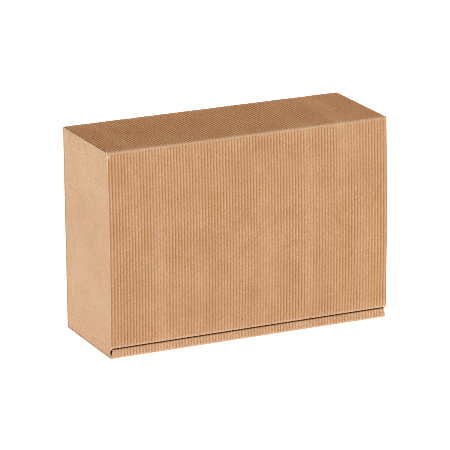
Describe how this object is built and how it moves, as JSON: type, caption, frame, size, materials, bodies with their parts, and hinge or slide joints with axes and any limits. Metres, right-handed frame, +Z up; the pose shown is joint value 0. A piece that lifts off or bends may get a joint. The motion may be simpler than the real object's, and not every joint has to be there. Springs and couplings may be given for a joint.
{
  "type": "cardboard gift box",
  "caption": "Closed oblong gift box of open-flute kraft board, with a hinged lid that tucks in behind a low front rim.",
  "frame": {"origin": "middle of the box on the surface that it stands on", "axes": "+X across the flutes from the left end to the right end, -Y out of the lid's face, +Z up"},
  "size_m": [0.31, 0.116, 0.216],
  "materials": {
    "fluted_kraft": "open fluted kraft paper, matte",
    "kraft_board": "plain smooth kraft board, matte"
  },
  "bodies": {
    "carton": {"wrap": "fluted_kraft", "left_end": "kraft_board", "right_end": "kraft_board"},
    "lid": {"lid": "fluted_kraft"}
  },
  "joints": [
    {"name": "lid_hinge", "type": "hinge", "parent": "carton", "child": "lid", "pos_m": [0, -0.056, 0.214], "axis": [-1, 0, 0], "range_deg": [0, 120]}
  ]
}
